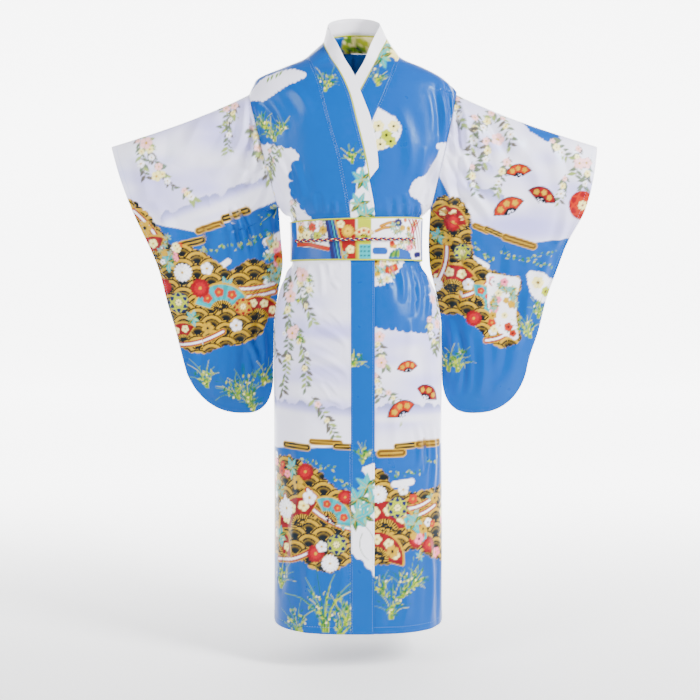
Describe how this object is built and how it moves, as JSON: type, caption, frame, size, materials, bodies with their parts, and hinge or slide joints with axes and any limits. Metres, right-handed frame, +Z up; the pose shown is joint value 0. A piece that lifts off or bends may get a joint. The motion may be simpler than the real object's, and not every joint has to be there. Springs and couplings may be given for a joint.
{
  "type": "yukata robe",
  "caption": "Wrap-front robe with long round-cornered sleeves, standing neck band and white inner collar, and a piped sash with a plaited cord, filled out as worn.",
  "frame": {"origin": "midway between the shoulders at the foot of the neck, where the wearer's shoulders carry the robe", "axes": "+Z up, -Y towards the robe's front, +X towards the wearer's left"},
  "size_m": [1.1606, 0.3192, 1.4431],
  "materials": {
    "printed_satin": "printed satin, blue and misty white",
    "sash_cloth": "printed satin, stiffened",
    "white_cloth": "plain white satin",
    "piping": "lime yellow satin",
    "cord": "plaited cord"
  },
  "bodies": {
    "root": {"right_front_upper": "printed_satin", "right_front_lower": "printed_satin", "left_front_upper": "printed_satin", "left_front_lower": "printed_satin", "right_back_upper": "printed_satin", "right_back_lower": "printed_satin", "left_back_upper": "printed_satin", "left_back_lower": "printed_satin", "right_sleeve_front": "printed_satin", "right_sleeve_back": "printed_satin", "left_sleeve_front": "printed_satin", "left_sleeve_back": "printed_satin", "right_band_upper": "printed_satin", "right_band_lower": "printed_satin", "left_band_upper": "printed_satin", "left_band_lower": "printed_satin", "white_collar": "white_cloth", "collar_piping": "piping", "sash": "sash_cloth", "sash_piping_upper": "piping", "sash_piping_lower": "piping", "sash_cord": "cord"}
  },
  "joints": []
}
